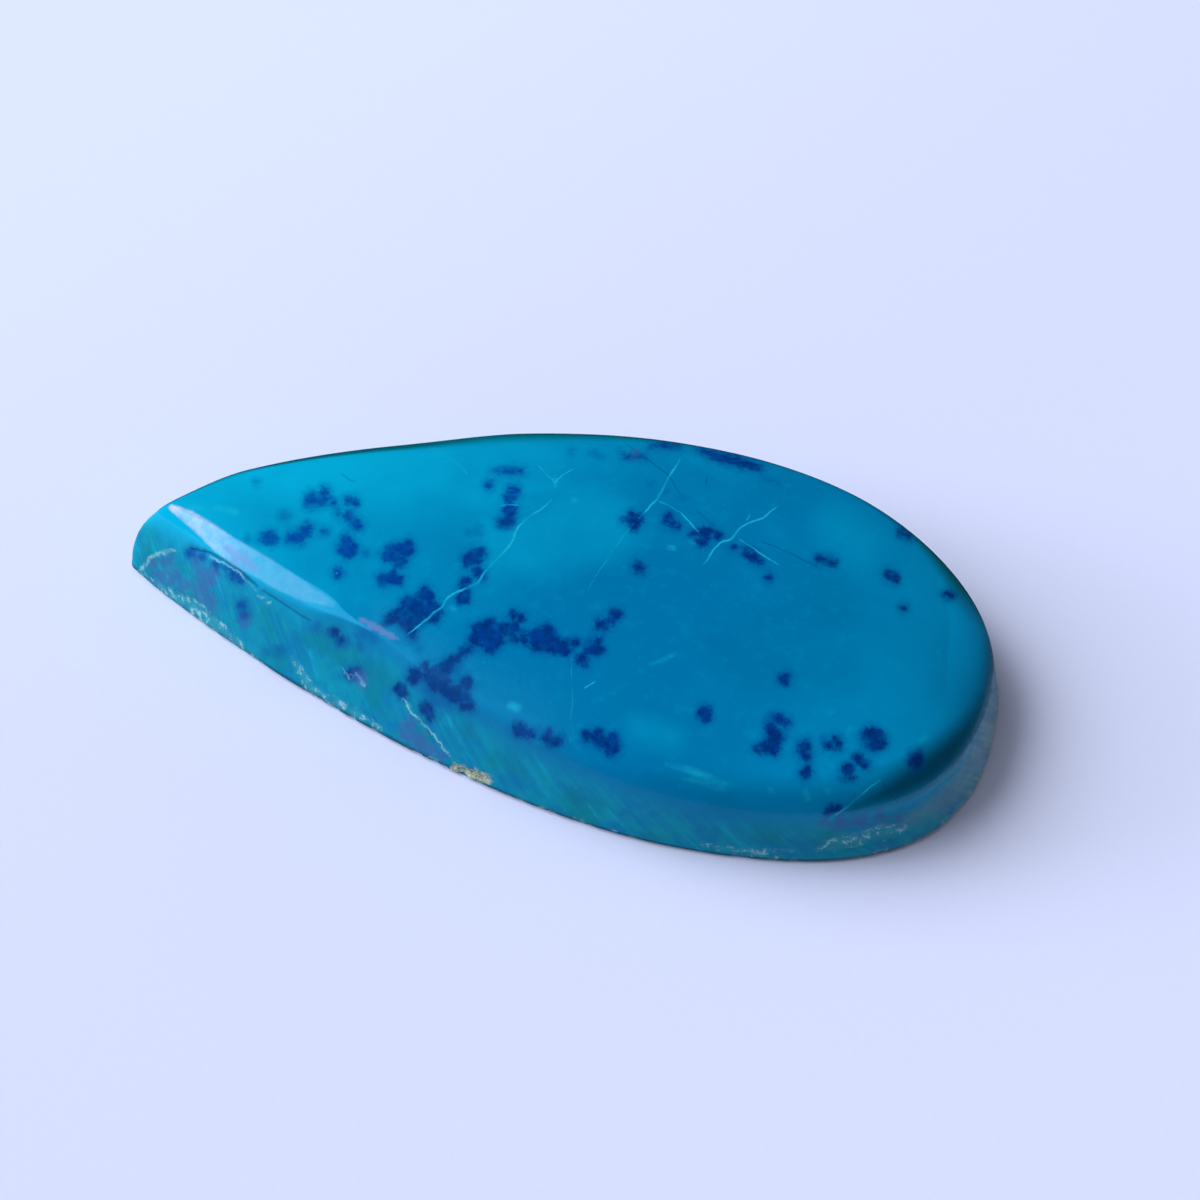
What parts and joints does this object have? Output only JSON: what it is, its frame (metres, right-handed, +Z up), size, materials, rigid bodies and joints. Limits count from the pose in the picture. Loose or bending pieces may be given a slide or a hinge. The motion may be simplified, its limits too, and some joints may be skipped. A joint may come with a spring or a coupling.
{
  "type": "pear-shaped azurite and chrysocolla cabochon",
  "caption": "Polished pear-shaped stone cabochon with a low dome, a bevelled rim and a flat ground back, for display or for setting.",
  "frame": {"origin": "middle of the bounding box, on the flat back that the stone rests on", "axes": "+X along the stone from the pointed tip to the round end, +Y towards the back side, +Z up from the flat back through the dome"},
  "size_m": [0.04, 0.0206, 0.0057],
  "materials": {
    "polished_stone": "blue-green chrysocolla with deep blue azurite spots, glossy polish on the dome and shoulder, satin ground wall and matt back"
  },
  "bodies": {
    "root": {"stone": "polished_stone"}
  },
  "joints": []
}
